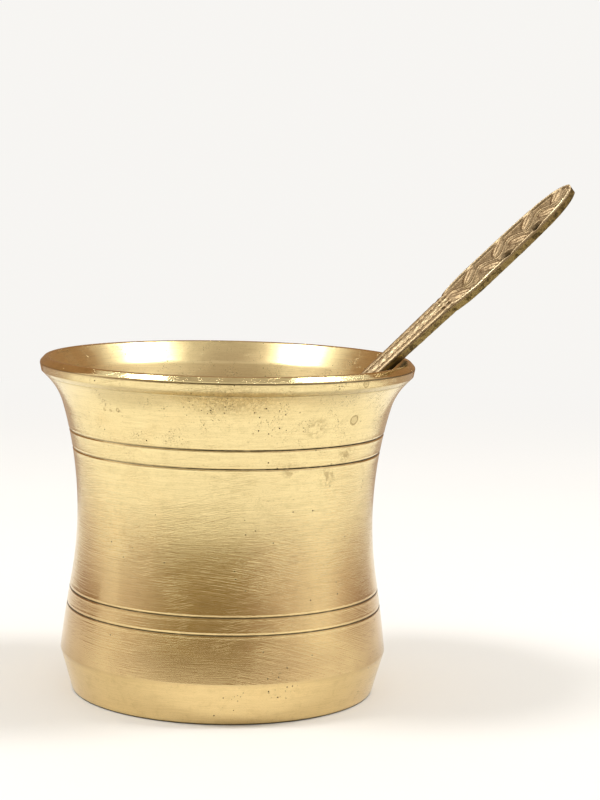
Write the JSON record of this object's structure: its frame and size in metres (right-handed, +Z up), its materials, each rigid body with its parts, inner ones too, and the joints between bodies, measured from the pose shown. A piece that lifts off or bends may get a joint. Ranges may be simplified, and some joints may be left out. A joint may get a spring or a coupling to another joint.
{
  "type": "panchpatra with spoon",
  "caption": "Waisted brass water cup with a flared lip, turned grooves and a tapered foot, and a loose ritual spoon leaning in it.",
  "frame": {"origin": "centre of the cup's base, on the plane that it stands on", "axes": "+Z up along the cup's turned axis, +X towards the side that the spoon leans to, +Y away from the viewer"},
  "size_m": [0.121, 0.084, 0.1156],
  "materials": {
    "vessel_brass": "satin lathe-turned brass with fine scratches",
    "spoon_brass": "dull cast brass with dark tarnish in the relief"
  },
  "bodies": {
    "vessel": {"vessel": "vessel_brass"},
    "spoon": {"spoon": "spoon_brass"}
  },
  "joints": [
    {"name": "spoon_lift", "type": "slide", "parent": "vessel", "child": "spoon", "axis": [0.3746, 0, 0.9272], "range_m": [0, 0.1]}
  ]
}
